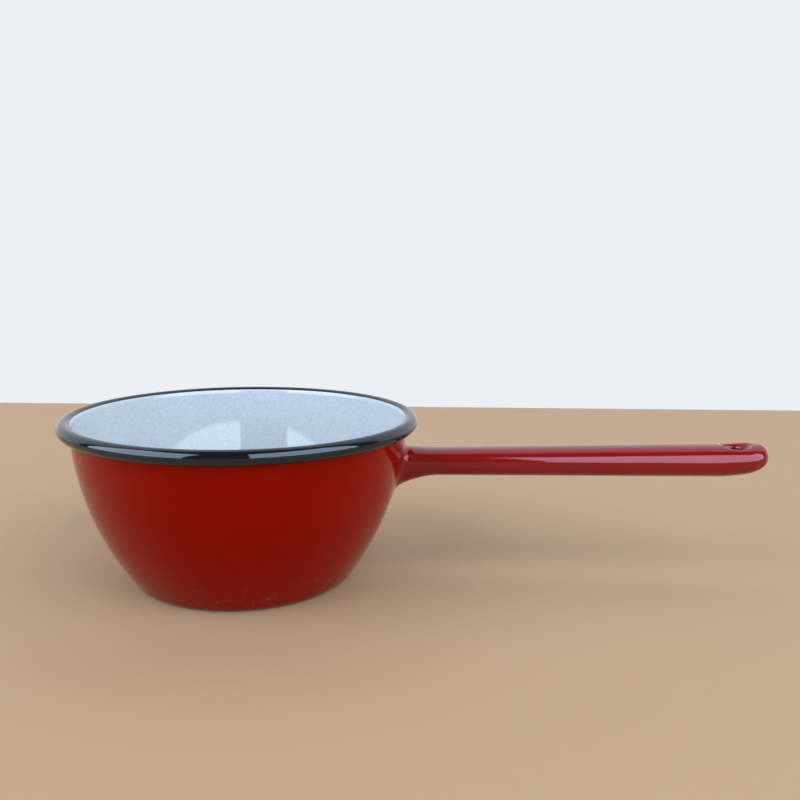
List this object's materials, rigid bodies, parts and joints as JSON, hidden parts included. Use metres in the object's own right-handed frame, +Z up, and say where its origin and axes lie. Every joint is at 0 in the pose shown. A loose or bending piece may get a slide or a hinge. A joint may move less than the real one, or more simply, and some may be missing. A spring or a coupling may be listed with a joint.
{
  "type": "saucepan",
  "caption": "Enamelled steel saucepan: deep round bowl with bowed walls, rolled rim and one long hollow handle with a hanging hole.",
  "frame": {"origin": "centre of the flat underside that the saucepan stands on", "axes": "+Z up along the bowl's axis, +X from the bowl along the handle, +Y to the left of the handle seen from the bowl"},
  "size_m": [0.3646, 0.18, 0.085],
  "materials": {
    "red_enamel": "glossy deep red vitreous enamel",
    "speckled_enamel": "glossy pale blue-grey vitreous enamel with a fine dark speckle",
    "black_enamel": "glossy black vitreous enamel",
    "bare_steel": "bare pressed steel under the enamel"
  },
  "bodies": {
    "root": {"bowl_pressing": "bare_steel", "handle_upper_half": "bare_steel", "handle_lower_half": "bare_steel", "handle_seam_weld": "bare_steel", "handle_root_weld": "bare_steel", "outer_enamel": "red_enamel", "inner_enamel": "speckled_enamel", "rim_enamel": "black_enamel", "handle_enamel": "red_enamel", "hole_enamel": "red_enamel"}
  },
  "joints": []
}
